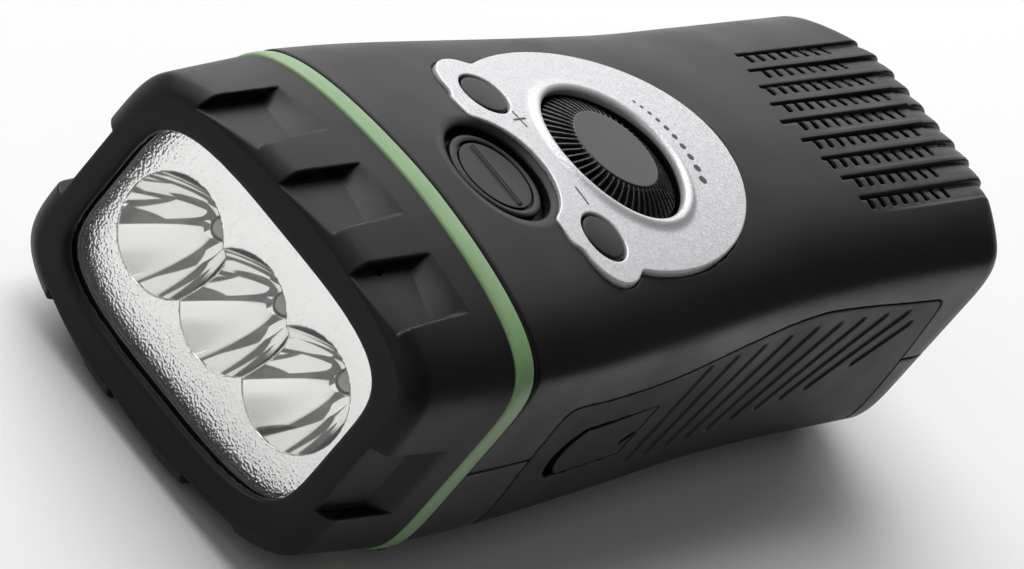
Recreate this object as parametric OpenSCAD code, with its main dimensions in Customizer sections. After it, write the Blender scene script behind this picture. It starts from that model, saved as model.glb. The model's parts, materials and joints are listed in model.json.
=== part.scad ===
// Hand-pressed dynamo torch and radio, lying on its base.
// +X runs from the lens (at -X) to the loudspeaker end, +Z is the side with the controls.
// All sizes in millimetres; the origin is under the middle of the case, on the surface it lies on.

/* [Case] */
// overall length, lens rim to rear end
case_l = 158; // [140:1:180]
// half width of the case at the trim ring
case_hw = 29.8; // [26:0.1:34]
// half width of the grip and of the loudspeaker end
grip_hw = 24.5; // [22:0.1:28]
// height of the case top at the trim ring
top_front = 44; // [40:0.1:48]
// height of the case top at the loudspeaker
top_rear = 45.4; // [41:0.1:50]
// wall of the two case halves
wall = 2; // [1.6:0.1:3]
// height of the joint between the two case halves
part_z = 21; // [18:0.5:26]

/* [Head] */
// length of the rubber bumper
bumper_l = 20.7; // [16:0.1:26]
// length of the coloured trim ring
ring_l = 4; // [2:0.1:6]
// half width of the front opening
open_hw = 22.9; // [18:0.1:26]
// half height of the front opening
open_hh = 14.2; // [10:0.1:18]
// mouth radius of one reflector cup
cup_r = 8; // [6:0.1:10]
// distance between neighbouring reflector cups
cup_pitch = 13.1; // [10:0.1:16]
// depth of a reflector cup
cup_d = 11; // [6:0.5:14]

/* [Controls] */
// distance of the volume knob from the front rim
knob_from_front = 68; // [60:0.5:80]
// radius of the knob opening
knob_hole_r = 11.35; // [9:0.05:13]
// radius of the flat top of the knob
knob_top_r = 6.8; // [5:0.1:8]
// number of grip ribs round the knob
knob_ribs = 40; // [24:1:60]
// distance of the two scan buttons from the front rim
scan_from_front = 52.1; // [45:0.1:58]
// distance of each scan button from the middle
scan_y = 12.6; // [10:0.1:15]
// radius of a scan button
scan_r = 3.6; // [2.5:0.1:4.5]
// distance of the light button from the front rim
light_from_front = 41.5; // [34:0.5:46]
// radius of the light button
light_r = 7.2; // [5:0.1:9]

/* [Loudspeaker] */
// number of grille grooves
groove_n = 9; // [5:2:13]
// distance between grooves
groove_pitch = 3.3; // [2.5:0.1:4.5]
// slits along one groove
slit_n = 9; // [6:1:12]
// radius of the loudspeaker
speaker_r = 15; // [12:0.5:18]

/* [Press lever] */
// thickness of the lever's cheeks
lever_t = 2.6; // [2:0.1:3.5]
// gap between the lever and the case
lever_gap = 0.7; // [0.4:0.05:1.2]
// height of the hinge pin above the base
pivot_z = 3.7; // [3:0.1:5]
// number of grip grooves on each cheek
rib_n = 9; // [5:1:14]
// radius of the hinge pin
pin_r = 1.5; // [1:0.1:2]

/* [Gears] */
// teeth the toothed arc would have on a full circle
arc_teeth = 84; // [60:2:110]
// teeth of the three small gears
pinion_a = 12; // [10:1:16]
pinion_b = 10; // [9:1:14]
pinion_c = 10; // [9:1:14]
// teeth of the two large gears
wheel_a = 40; // [30:2:50]
wheel_b = 30; // [24:2:40]
// tooth sizes of the three gear pairs
module_1 = 1;
module_2 = 0.6;
module_3 = 0.5;

/* [Hidden] */
x_front = -case_l / 2;
x_rear = case_l / 2;
x_ring = x_front + bumper_l;
x_body = x_ring + ring_l + 0.3;
mid_z = 22.4;
half_h = 23;
head_z = 22;
ring_hh = 22.3;
taper = 4;
waist_x = 21;
knob_x = x_front + knob_from_front;
scan_x = x_front + scan_from_front;
light_x = x_front + light_from_front;
light_top = 42.9;
speaker_x = x_front + 132.5;
pivot_x = x_front + 43;
arc_r = arc_teeth * module_1 / 2;
lever_reach = 99.6;
lever_front = -3.3;
a_angle = 20;
a_dist = arc_r + pinion_a * module_1 / 2;
ax = pivot_x + a_dist * cos(a_angle);
az = pivot_z + a_dist * sin(a_angle);
b_angle = -25;
b_dist = (wheel_a + pinion_b) * module_2 / 2;
bx = ax + b_dist * cos(b_angle);
bz = az + b_dist * sin(b_angle);
c_angle = 30;
c_dist = (wheel_b + pinion_c) * module_3 / 2;
cx = bx + c_dist * cos(c_angle);
cz = bz + c_dist * sin(c_angle);
board_z = 32.6;
board_t = 1.6;
top_flat = 44.3;
rear_arc = 12.7;
corner_reach = 40.8;
corner_tilt = 24.6;
corner_turn = 30;
post_spots = [[ax + 11.3, az + 8.3], [ax + 3, az - 13.6], [cx + 9.5, cz - 9]];
screw_spots = [[x_body + 7.3, 21.5], [x_body + 7.3, -21.5], [69.5, 13.5], [69.5, -13.5]];
rubber = [0.16, 0.16, 0.17];
black = [0.13, 0.13, 0.14];
green = [0.5, 0.66, 0.5];
silver = [0.78, 0.78, 0.8];
chrome = [0.85, 0.85, 0.87];
steel = [0.62, 0.63, 0.65];
copper = [0.72, 0.42, 0.22];
board_green = [0.1, 0.35, 0.2];
nylon = [0.9, 0.88, 0.8];
$fn = 64;

// flat-sided oval with long curved top and bottom, listed as [across, up]
function oval(a, b, cz0, p, q, n = 44) = [for (i = [0 : n - 1])
    let (t = 360 * (i + 0.5) / n, c = cos(t), s = sin(t))
    [a * sign(c) * pow(abs(c), 2 / p), cz0 + b * sign(s) * pow(abs(s), 2 / q)]];

// arc points, centre and radius, from one angle to another
function arc(x, y, r, a0, a1, n) =
    [for (i = [0 : n]) let (a = a0 + (a1 - a0) * i / n) [x + r * cos(a), y + r * sin(a)]];

// a slice of an outline standing across X
module across(x0, x1, pts) {
    translate([x0, 0, 0])
        rotate([90, 0, 90])
            linear_extrude(x1 - x0)
                polygon(pts);
}

// a slice of an X-Z outline standing along Y
module along_y(y0, y1) {
    translate([0, y1, 0])
        rotate([90, 0, 0])
            linear_extrude(y1 - y0)
                children();
}

module rod_y(x, z, r, y0, y1) {
    translate([x, y1, z])
        rotate([90, 0, 0])
            cylinder(h = y1 - y0, r = r);
}

// X-Z outline of the case, e is how far inside the outer face
function side_outline(e) = concat(
    [[x_body - 2, e], [x_body - 2, top_front - e], [0, 44.6 - e], [30, top_rear - e]],
    arc(x_rear - rear_arc, top_rear - rear_arc, rear_arc - e, 87, 0, 9),
    arc(x_rear - 9, 9, 9 - e, 0, -84, 6));

// X-Y outline of the case
function plan_outline(e) = let (h = concat(
    [[x_body - 2, case_hw - e], [-39, case_hw - 0.4 - e], [-19, 28 - e], [1, 26.2 - e], [21, 25.1 - e],
    [41, grip_hw + 0.1 - e]],
    arc(x_rear - 15, grip_hw - 15, 15 - e, 88, 0, 9)))
    concat(h, [for (i = [len(h) - 1 : -1 : 0]) [h[i][0], -h[i][1]]]);

// side and corner outline for one side only, open towards the middle
function flank(a, b) = let (o = [for (i = [-11 : 11]) let (t = 3.4 * i)
    [a * pow(abs(cos(t)), 1.25), mid_z + b * sign(t) * pow(abs(sin(t)), 2 / 7)]])
    concat([[a * 0.6, mid_z - b * 1.15]], o,
    [[a * 0.6, mid_z + b * 1.15], [-40, mid_z + b * 1.15], [-40, mid_z - b * 1.15]]);

// one long side with its rounded corners where the case tapers towards the grip
module flank_taper(e) {
    translate([x_body + 20, 0, 0])
        rotate([0, 0, -taper])
            across(-60, 100, flank(case_hw - 0.55 - e, half_h - e));
    translate([waist_x, -60, -20]) cube([200, 120, 100]);
}

// the same side from the grip to the rear end
module flank_rear(e) {
    across(waist_x - 1, x_rear + 5, flank(grip_hw + 0.9 - e, half_h - e));
    translate([waist_x - 200, -60, -20]) cube([199.8, 120, 100]);
}

// the case as one solid, e is how far inside the outer face; the four rear corners are cut back
module case_solid(e) {
    difference() {
        intersection() {
            along_y(-40, 40) polygon(side_outline(e));
            translate([0, 0, -6]) linear_extrude(60) polygon(plan_outline(e));
            across(x_body - 2, x_rear, oval(case_hw - e, half_h - e, mid_z, 1.6, 7));
            flank_taper(e);
            flank_rear(e);
            mirror([0, 1, 0]) flank_taper(e);
            mirror([0, 1, 0]) flank_rear(e);
        }
        for (sy = [-1, 1], sz = [-1, 1])
            translate([40, 0, mid_z])
                rotate([0, -corner_tilt * sz, corner_turn * sy])
                    translate([corner_reach - e, -50, -50]) cube([30, 100, 100]);
    }
}

// X-Z outline of the press lever, g is the gap added round it
function lever_outline(g) = concat(
    [[pivot_x + lever_front - g, pivot_z]],
    [[pivot_x + lever_front - g, 29 + g], [-37.4, 30.8 + g], [-30, 30.2 + g], [-21, 30.2 + g],
    [-12, 30.5 + g],
    [-5, 31.4 + g], [3, 32.9 + g], [14.5, 35 + g], [24.5, 35.8 + g], [36, 35.2 + g], [47, 34.3 + g]],
    arc(pivot_x, pivot_z, lever_reach + g, 16.9, -3, 10),
    [[pivot_x, -1.6 - g]]);

module lever_zone(g) {
    along_y(-40, 40) {
        polygon(lever_outline(g));
        translate([pivot_x, pivot_z]) circle(r = 3.3 + g);
    }
}

module screw_bosses(r, z0, z1) {
    for (s = screw_spots) translate([s[0], s[1], z0]) cylinder(h = z1 - z0, r = r);
}

// the hollow of the case: thin walls at both ends and under the top, a set-back lining behind the lever
module case_hollow() {
    intersection() {
        case_solid(wall);
        union() {
            translate([-70, -40, -5]) cube([29 - 0.5, 80, 60]);
            translate([65.2, -40, -5]) cube([30, 80, 60]);
            translate([-70, -40, 37.3]) cube([160, 80, 30]);
        }
    }
    case_solid(lever_t + lever_gap + 1.6);
}

module case_shell() {
    difference() {
        case_solid(0);
        case_hollow();
        difference() {
            lever_zone(0.45);
            case_solid(lever_t + lever_gap);
        }
    }
}

// ---- head ----
module rubber_bumper() {
    color(rubber) difference() {
        union() {
            hull() {
                across(x_front, x_front + 0.1, oval(27.2, 19.4, head_z, 1.7, 6));
                across(x_front + 2.2, x_front + 2.3, oval(28.7, 20.9, head_z, 1.7, 6.5));
            }
            hull() {
                across(x_front + 2.2, x_front + 2.3, oval(28.7, 20.9, head_z, 1.7, 6.5));
                across(x_ring - 0.1, x_ring, oval(29.7, 21.8, head_z, 1.65, 7));
            }
        }
        across(x_front - 1, x_front + 3, oval(open_hw, open_hh, head_z, 3.4, 5.2));
        across(x_front + 1.4, x_front + 6, oval(24.6, 16, head_z, 3.4, 5.2));
        across(x_front + 5, x_ring + 1, oval(26.9, 18.9, head_z, 1.65, 7));
        for (s = [-1, 1], k = [-1, 0, 1])
            translate([x_front + 15.5, k * 14.5, head_z + s * (21.7 - abs(k) * 1.35)])
                rotate([-s * k * 6, s * -3, 0])
                    rotate([0, s * -3.4, 0])
                        translate([-20, -4.1, s > 0 ? 0 : -6])
                            cube([20, 8.2, 6]);
        for (s = [-1, 1])
            translate([x_front + 15.5, s * 29.5, head_z - 0.5])
                rotate([0, 0, s * 6.4])
                    translate([-20, s > 0 ? 0 : -6, -5])
                        cube([20, 6, 10]);
    }
}

module trim_ring() {
    color(green) difference() {
        intersection() {
            across(x_ring, x_ring + ring_l, oval(30, ring_hh, head_z, 1.6, 7));
            translate([-100, -50, 0]) cube([100, 100, 60]);
        }
        across(x_ring - 1, x_ring + ring_l + 1, oval(26.9, 18.9, head_z, 1.65, 7));
    }
}

module lens() {
    color([0.85, 0.9, 0.92, 0.35])
        across(x_front + 1.6, x_front + 3, oval(24.3, 15.7, head_z, 3.4, 5.2));
}

module lens_gasket() {
    color(rubber) difference() {
        across(x_front + 3.05, x_front + 3.6, oval(24.3, 15.7, head_z, 3.4, 5.2));
        across(x_front + 3, x_front + 3.7, oval(23.2, 14.6, head_z, 3.4, 5.2));
    }
}

// hollow of one cup: a parabola turned about the lamp axis
module cup(r, d, skin) {
    rotate([0, 90, 0])
        rotate_extrude()
            polygon(concat([[0, -0.2]], [[r + skin, -0.2]],
                [for (i = [0 : 8]) let (k = 1 - i / 9) [r * sqrt(k) + skin, d * (1 - k)]],
                [[0, d + 0.01]]));
}

module reflector() {
    color(chrome) difference() {
        union() {
            across(x_front + 3.7, x_front + 4.8, oval(24.3, 15.7, head_z, 3.4, 5.2));
            for (k = [-1, 0, 1]) translate([x_front + 4.4, k * cup_pitch, head_z])
                cup(cup_r - 0.05, cup_d + 0.3, 0.8);
        }
        for (k = [-1, 0, 1]) {
            translate([x_front + 3.7, k * cup_pitch, head_z]) cup(cup_r, cup_d, 0);
            translate([x_front + 8, k * cup_pitch, head_z]) rotate([0, 90, 0]) cylinder(h = 12, r = 2.7);
        }
    }
}

module lamp_housing() {
    color(black) difference() {
        across(x_front + 5.2, -52.6, oval(26.7, 18.7, head_z, 1.65, 7));
        across(x_front + 4, -60.2, oval(24.4, 16.4, head_z, 1.65, 7));
        across(-61, -50, oval(22, 14, head_z, 1.65, 7));
    }
}

module leds() {
    color([0.95, 0.95, 0.85]) for (k = [-1, 0, 1])
        translate([-62, k * cup_pitch, head_z])
            rotate([0, -90, 0]) {
                cylinder(h = 1, r = 2.9);
                cylinder(h = 4, r = 2.4);
                translate([0, 0, 4]) sphere(r = 2.4);
            }
}

module led_board() {
    color(board_green) difference() {
        across(-61.95, -60.4, oval(24, 16, head_z, 1.65, 7));
        for (s = [-1, 1]) translate([-65, s * 19.6, head_z]) rotate([0, 90, 0]) cylinder(h = 10, r = 1.2);
    }
}

// ---- case ----
module slit_field() {
    for (i = [0 : groove_n - 1]) {
        y = (i - (groove_n - 1) / 2) * groove_pitch;
        x0 = speaker_x - 16.4 + abs(y) * 0.1;
        translate([x0, y - 1.9]) for (k = [0 : slit_n - 1]) translate([k * 3.2, 0]) square([1.1, 1.7]);
    }
}

module groove_field() {
    for (i = [0 : groove_n - 1]) {
        y = (i - (groove_n - 1) / 2) * groove_pitch;
        translate([speaker_x - 19.3 + abs(y) * 0.18, y - 0.35]) square([50, 0.7]);
    }
}

module upper_case() {
    color(black) difference() {
        union() {
            intersection() {
                case_shell();
                translate([x_body, -40, part_z]) cube([200, 80, 60]);
            }
            for (s = screw_spots) translate([s[0], s[1], part_z])
                cylinder(h = 41 - part_z - (s[0] > 0 ? 2 : 0), r = 3.6);
            intersection() {
                case_solid(1);
                translate([speaker_x, 0, 37.4]) difference() {
                    cylinder(h = 6, r = speaker_r + 1.9);
                    translate([0, 0, -1]) cylinder(h = 9, r = speaker_r + 0.3);
                }
            }
        }
        for (s = screw_spots) translate([s[0], s[1], part_z - 1]) cylinder(h = 15, r = 1.3);
        translate([knob_x, 0, 38]) cylinder(h = 12, r = knob_hole_r + 0.6);
        for (s = [-1, 1]) translate([scan_x, s * scan_y, 38]) cylinder(h = 12, r = scan_r + 0.7);
        translate([light_x, 0, 38]) cylinder(h = 12, r = light_r + 1);
        translate([light_x, 0, 44 + 40 - 1.4]) sphere(r = 40, $fn = 96);
        translate([0, 0, 42.9]) linear_extrude(8) polygon(plate_outline(0.25));
        translate([0, 0, 39]) linear_extrude(12) slit_field();
        translate([0, 0, 44.7]) linear_extrude(8) groove_field();
    }
}

module lower_case() {
    color(black) difference() {
        union() {
            intersection() {
                case_shell();
                translate([x_body, -40, -5]) cube([200, 80, 5 + part_z]);
            }
            for (s = screw_spots) translate([s[0], s[1], 0.8]) cylinder(h = part_z - 0.8, r = 3.6);
            for (s = [-1, 1]) {
                rod_y(pivot_x, pivot_z, 3.1, s > 0 ? 17.4 : -20.4, s > 0 ? 20.4 : -17.4);
                translate([pivot_x - 6, s > 0 ? 17.4 : -20.4, 1.1]) cube([6, 3, 5.6]);
            }
        }
        for (s = screw_spots) translate([s[0], s[1], 0]) {
            translate([0, 0, -1]) cylinder(h = 40, r = 1.5);
            translate([0, 0, -1]) cylinder(h = 6, r = 2.9);
        }
        rod_y(pivot_x, pivot_z, 3.75, -17.2, 17.2);
        rod_y(pivot_x, pivot_z, pin_r + 0.05, -19.6, 19.6);
        translate([pivot_x + 35, -4, 1]) cube([8.5, 5, 6]);
    }
}

// X-Y outline of the silver plate, g is the gap added round it
function plate_outline(g) = let (h = concat(
    arc(light_x + 0.1, 0, 9.4 - g, 0, 58, 6),
    arc(-28.8, 14.5, 5.6 + g, 232, 58, 10),
    [for (i = [0 : 12]) let (t = 106 - 106 * i / 12) [-15 + (28.2 + g) * cos(t), (19.4 + g) * sin(t)]]))
    concat(h, [for (i = [len(h) - 2 : -1 : 1]) [h[i][0], -h[i][1]]]);

module control_plate() {
    color(silver) difference() {
        union() {
            translate([0, 0, 43]) linear_extrude(top_flat + 0.3 - 43) polygon(plate_outline(0));
            translate([knob_x, 0, 44]) cylinder(h = 1.3, r1 = knob_hole_r + 1.9, r2 = knob_hole_r + 0.7);
        }
        translate([knob_x, 0, 40]) cylinder(h = 12, r = knob_hole_r);
        for (s = [-1, 1]) translate([scan_x, s * scan_y, 38]) cylinder(h = 12, r = scan_r + 0.2);
        for (i = [0 : 9]) {
            t = 52 - 9.6 * i;
            translate([knob_x + 15.6 * cos(t), 15.6 * sin(t), top_flat])
                cylinder(h = 2, r = 0.28 + 0.055 * i);
        }
        for (s = [-1, 1]) translate([scan_x + 6.5, s * 9.2, top_flat]) {
            translate([-1.2, -0.2, 0]) cube([2.4, 0.4, 2]);
            if (s > 0) translate([-0.2, -1.2, 0]) cube([0.4, 2.4, 2]);
        }
    }
}

// ---- controls ----
module volume_knob() {
    color(black) difference() {
        translate([knob_x, 0, 0]) rotate_extrude()
            polygon([[0, 41.2], [knob_hole_r - 0.35, 41.2], [knob_hole_r - 0.35, 43.4],
            [knob_hole_r - 0.9, 44], [knob_top_r + 0.4, 45.5], [knob_top_r, 45.7], [0, 45.7]]);
        for (i = [0 : knob_ribs - 1]) translate([knob_x, 0, 0]) rotate([0, 0, 360 * i / knob_ribs])
            translate([knob_top_r + 0.8, -0.3, 42.6]) cube([6, 0.6, 5]);
        translate([knob_x, 0, 40]) cylinder(h = 4.3, r = 3.02);
    }
}

module pot_shaft() {
    color(steel) translate([knob_x, 0, 36]) cylinder(h = 8, r = 3);
}

module volume_pot() {
    color(steel) difference() {
        translate([knob_x, 0, board_z + board_t]) {
            cylinder(h = 4.6, r = 8);
            cylinder(h = 6.2, r = 4.4);
        }
        translate([knob_x, 0, 35.8]) cylinder(h = 12, r = 3.05);
    }
}

module scan_button(s) {
    color(rubber) translate([scan_x, s * scan_y, 0]) {
        translate([0, 0, 39.4]) cylinder(h = 5.5, r = scan_r);
        translate([0, 0, 41.8]) cylinder(h = 1.1, r = scan_r + 0.45);
        translate([0, 0, 37.6]) cylinder(h = 2, r = 1.2);
    }
}

module scan_up_button() scan_button(1);

module scan_down_button() scan_button(-1);

module light_button() {
    color(rubber) difference() {
        translate([light_x, 0, 0]) {
            translate([0, 0, 39.2]) cylinder(h = light_top - 39.2, r = light_r);
            translate([0, 0, 40.4]) cylinder(h = 1.2, r = light_r + 1.7);
            translate([0, 0, 37.6]) cylinder(h = 2, r = 1.6);
            translate([-0.4, -5.2, light_top - 0.3]) cube([0.8, 10.4, 0.5]);
        }
        translate([light_x, 0, light_top - 0.5]) difference() {
            cylinder(h = 2, r = light_r - 1.1);
            translate([0, 0, -1]) cylinder(h = 4, r = light_r - 1.5);
        }
    }
}

module tact_switches() {
    color(steel) for (p = [[scan_x, scan_y], [scan_x, -scan_y], [light_x, 0]])
        translate([p[0], p[1], board_z + board_t]) {
            translate([-3, -3, 0]) cube([6, 6, 2]);
            cylinder(h = 2.5, r = 1.6);
        }
}

module main_board() {
    color(board_green) difference() {
        translate([-46.8, -17.6, board_z]) cube([46.8, 35.2, board_t]);
        for (p = [[-44.5, 15], [-44.5, -15], [-2.5, 15], [-2.5, -15]]) translate([p[0], p[1], board_z - 1])
            cylinder(h = 4, r = 1.1);
    }
}

module radio_chips() {
    color(black) for (p = [[-22, 7, 9, 6], [-33, -7, 6, 6], [-5, -9, 5, 4]])
        translate([p[0] - p[2] / 2, p[1] - p[3] / 2, board_z - 1.6]) cube([p[2], p[3], 1.5]);
}

// ---- loudspeaker ----
module grille_cloth() {
    color([0.08, 0.08, 0.08]) translate([speaker_x, 0, 40.3]) cylinder(h = 0.35, r = speaker_r - 1.2);
}

module speaker_frame() {
    color(steel) translate([speaker_x, 0, 0]) rotate_extrude()
        polygon([[speaker_r - 2, 40.2], [speaker_r, 40.2], [speaker_r, 39], [speaker_r - 1.4, 38.6],
        [9.4, 34], [4.4, 34], [4.4, 34.8], [8.9, 34.8], [speaker_r - 2, 39]]);
}

module speaker_cone() {
    color([0.2, 0.2, 0.2]) translate([speaker_x, 0, 0]) rotate_extrude()
        polygon([[0, 37], [2.4, 36.6], [3.9, 35.5], [speaker_r - 2.3, 39.4], [speaker_r - 2.3, 39.8],
        [4.2, 36.2], [2.6, 37.2], [0, 37.6]]);
}

module speaker_magnet() {
    color(steel) translate([speaker_x, 0, 28]) {
        cylinder(h = 5.9, r = 8.6);
        cylinder(h = 6.6, r = 3.6);
    }
}

// ---- power ----
module battery_cells() {
    color([0.15, 0.35, 0.6]) for (k = [-1, 0, 1]) translate([-54, k * 10.8, 20]) rotate([0, 90, 0]) {
        cylinder(h = 43, r = 5.2);
        cylinder(h = 44, r = 1.8);
    }
}

module battery_tray() {
    color(black) difference() {
        translate([-55.4, -17.4, 12.8]) cube([47, 34.8, 9]);
        translate([-54.9, -16.4, 20]) cube([46, 32.8, 9]);
        for (k = [-1, 0, 1]) translate([-54.9, k * 10.8, 20]) rotate([0, 90, 0]) cylinder(h = 46, r = 5.35);
        translate([-54.9, -16, 16]) cube([0.9, 32, 9]);
        translate([-10, -16, 16]) cube([1.1, 32, 9]);
        for (s = [-1, 1]) translate([-47, s * 21.5, 5]) cylinder(h = 30, r = 4);
    }
}

module battery_contacts() {
    color(steel) {
        translate([-54.6, -15.6, 16.5]) cube([0.3, 31.2, 7]);
        translate([-9.7, -15.6, 16.5]) cube([0.3, 31.2, 7]);
    }
}

// ---- lever ----
module lever_grooves() {
    along_y(-40, 40) for (i = [0 : rib_n - 1])
        translate([-4.5 + i * 7, 22]) rotate(-6 - i * 2.4)
            square([2.2, 22 + (i < 2 ? 2 : 0)], center = true);
}

// X-Z outline of the lock catch and, with a gap, of the pocket it sits in
module catch_outline(g, lead) {
    translate([-24.4 - lead, 20 - 4.6 - g]) square([15.6 + lead + g, 9.2 + 2 * g]);
    translate([-24.4 - lead, 20]) circle(r = 4.6 + g);
}

module press_lever() {
    color(rubber) difference() {
        union() {
            difference() {
                intersection() {
                    case_solid(0);
                    lever_zone(0);
                    translate([-60, -40, 0.3]) cube([200, 80, 60]);
                }
                case_solid(lever_t);
                translate([pivot_x - 6, -40, -1]) cube([6, 80, 2.2]);
            }
            rod_y(pivot_x, pivot_z, 3.3, -17, 17);
            translate([pivot_x, -17, 0.6]) cube([7, 34, 2.6]);
            translate([pivot_x + 30, -8, 1]) cube([14, 4.6, 1.9]);
        }
        for (s = [-1, 1]) translate([pivot_x - 6, s > 0 ? 17.1 : -20.9, -1]) cube([9.6, 3.8, 9]);
        rod_y(pivot_x, pivot_z, pin_r + 0.06, -30, 30);
        rod_y(pivot_x, pivot_z, 3.1, -4.6, 4.6);
        difference() {
            lever_grooves();
            case_solid(0.8);
        }
        intersection() {
            translate([0, -60, 0]) difference() {
                along_y(0, 60) catch_outline(0.25, 1.7);
            }
            difference() {
                translate([-60, -60, 0]) cube([100, 60, 60]);
                case_solid(1.9);
            }
        }
        translate([pivot_x + 35, -3.2, -1]) cube([8.5, 3.4, 6]);
    }
}

module lock_catch() {
    color(black) difference() {
        intersection() {
            case_solid(0);
            along_y(-40, 0) catch_outline(0, 0);
        }
        case_solid(1);
        rod_y(-11, 20, 0.5, -40, 0);
    }
}

module lever_pin() {
    color(steel) rod_y(pivot_x, pivot_z, pin_r, -19.4, 19.4);
}

module lever_spring() {
    color(steel) for (i = [-4 : 4]) translate([pivot_x, i * 0.96, pivot_z]) rotate([90, 0, 0])
        rotate_extrude() translate([2.2, 0]) circle(r = 0.46, $fn = 24);
}

// ---- dynamo gears ----
// one gear outline with straight-sided teeth, thinned for running play; turn is where a tooth points
function gear_pts(n, m, turn) = [for (i = [0 : n - 1], k = [0 : 3])
    let (p = 360 / n, r = n * m / 2, hi = [-0.085, 0.085], lo = [-0.22, 0.22],
        a = turn + i * p + p * (k == 0 ? lo[0] : k == 1 ? hi[0] : k == 2 ? hi[1] : lo[1]),
        q = (k == 0 || k == 3) ? r - 1.15 * m : r + 0.85 * m)
    [q * cos(a), q * sin(a)]];

module toothed_arc() {
    color(steel) along_y(-3, 0) translate([pivot_x, pivot_z]) difference() {
        intersection() {
            polygon(gear_pts(arc_teeth, module_1, a_angle));
            polygon(concat([[0, 0]], arc(0, 0, 60, -4.3, 38, 6)));
        }
        circle(r = arc_r - 5, $fn = 180);
    }
}

module first_gear() {
    color(nylon) difference() {
        union() {
            along_y(-3.6, 1.6) translate([ax, az])
                polygon(gear_pts(pinion_a, module_1, a_angle + 180 + 180 / pinion_a));
            along_y(1.4, 4.4) translate([ax, az]) polygon(gear_pts(wheel_a, module_2, b_angle));
        }
        rod_y(ax, az, 1.06, -10, 10);
    }
}

module second_gear() {
    color(nylon) difference() {
        union() {
            along_y(1.2, 5.4) translate([bx, bz])
                polygon(gear_pts(pinion_b, module_2, b_angle + 180 + 180 / pinion_b));
            along_y(5.2, 7.2) translate([bx, bz]) polygon(gear_pts(wheel_b, module_3, c_angle));
        }
        rod_y(bx, bz, 1.06, -10, 10);
    }
}

module rotor_pinion() {
    color(nylon) difference() {
        along_y(5, 7.5) translate([cx, cz])
            polygon(gear_pts(pinion_c, module_3, c_angle + 180 + 180 / pinion_c));
        rod_y(cx, cz, 1, 0, 10);
    }
}

module rotor_shaft() {
    color(steel) rod_y(cx, cz, 1, -9.6, 9.4);
}

module rotor_magnet() {
    color([0.3, 0.3, 0.32]) difference() {
        rod_y(cx, cz, 7.6, -6, 0.6);
        rod_y(cx, cz, 1, -8, 2);
    }
}

module stator_core() {
    color(steel) difference() {
        union() {
            rod_y(cx, cz, 11, -6.6, -5.9);
            rod_y(cx, cz, 11, 0, 0.7);
            rod_y(cx, cz, 8.8, -6.6, 0.7);
        }
        rod_y(cx, cz, 8.1, -8, 2);
    }
}

module stator_coil() {
    color(copper) difference() {
        rod_y(cx, cz, 10.6, -5.8, -0.1);
        rod_y(cx, cz, 8.9, -8, 2);
    }
}

module gear_plate(y0, y1) {
    difference() {
        along_y(y0, y1) polygon([[1, 11], [1, 27], [9, 30], [22, 30.2], [40, 24], [43.5, 14], [43.5, 7.5],
            [11, 5.3], [5, 7]]);
        rod_y(ax, az, 1, -20, 20);
        rod_y(bx, bz, 1, -20, 20);
        rod_y(cx, cz, 1.05, -20, 20);
        for (p = post_spots) rod_y(p[0], p[1], 0.8, -20, 20);
    }
}

module gear_plate_left() {
    color(steel) gear_plate(8, 9.2);
}

module gear_plate_right() {
    color(steel) gear_plate(-9.2, -8);
}

module gear_pins() {
    color(steel) {
        rod_y(ax, az, 1, -9.4, 9.4);
        rod_y(bx, bz, 1, 1, 9.4);
        rod_y(bx, bz, 1, -9.2, -8);
    }
}

module plate_posts() {
    color(steel) for (p = post_spots) {
        rod_y(p[0], p[1], 0.8, -9.2, 9.2);
        rod_y(p[0], p[1], 1.1, -8, 8);
    }
}

module case_screws() {
    color(steel) for (s = screw_spots) translate([s[0], s[1], 0]) difference() {
        union() {
            translate([0, 0, 3.2]) cylinder(h = 1.8, r = 2.6);
            translate([0, 0, 3.2]) cylinder(h = 26, r = 1.25);
        }
        for (a = [0, 90]) rotate([0, 0, a]) translate([-1.6, -0.3, 3]) cube([3.2, 0.6, 1.1]);
    }
}

rubber_bumper();
trim_ring();
lens();
lens_gasket();
reflector();
lamp_housing();
leds();
led_board();
upper_case();
lower_case();
control_plate();
volume_knob();
volume_pot();
pot_shaft();
scan_up_button();
scan_down_button();
light_button();
tact_switches();
main_board();
radio_chips();
speaker_frame();
speaker_cone();
speaker_magnet();
grille_cloth();
battery_cells();
battery_tray();
battery_contacts();
press_lever();
lever_pin();
lever_spring();
lock_catch();
toothed_arc();
first_gear();
second_gear();
rotor_pinion();
rotor_shaft();
rotor_magnet();
stator_core();
stator_coil();
gear_plate_left();
gear_plate_right();
gear_pins();
plate_posts();
case_screws();
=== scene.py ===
"""Looks of the hand-pressed torch and radio: shells, rubber, metal and lamp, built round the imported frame."""

import json
import math

import bpy
import numpy as np
from mathutils import Matrix, Vector


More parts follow.
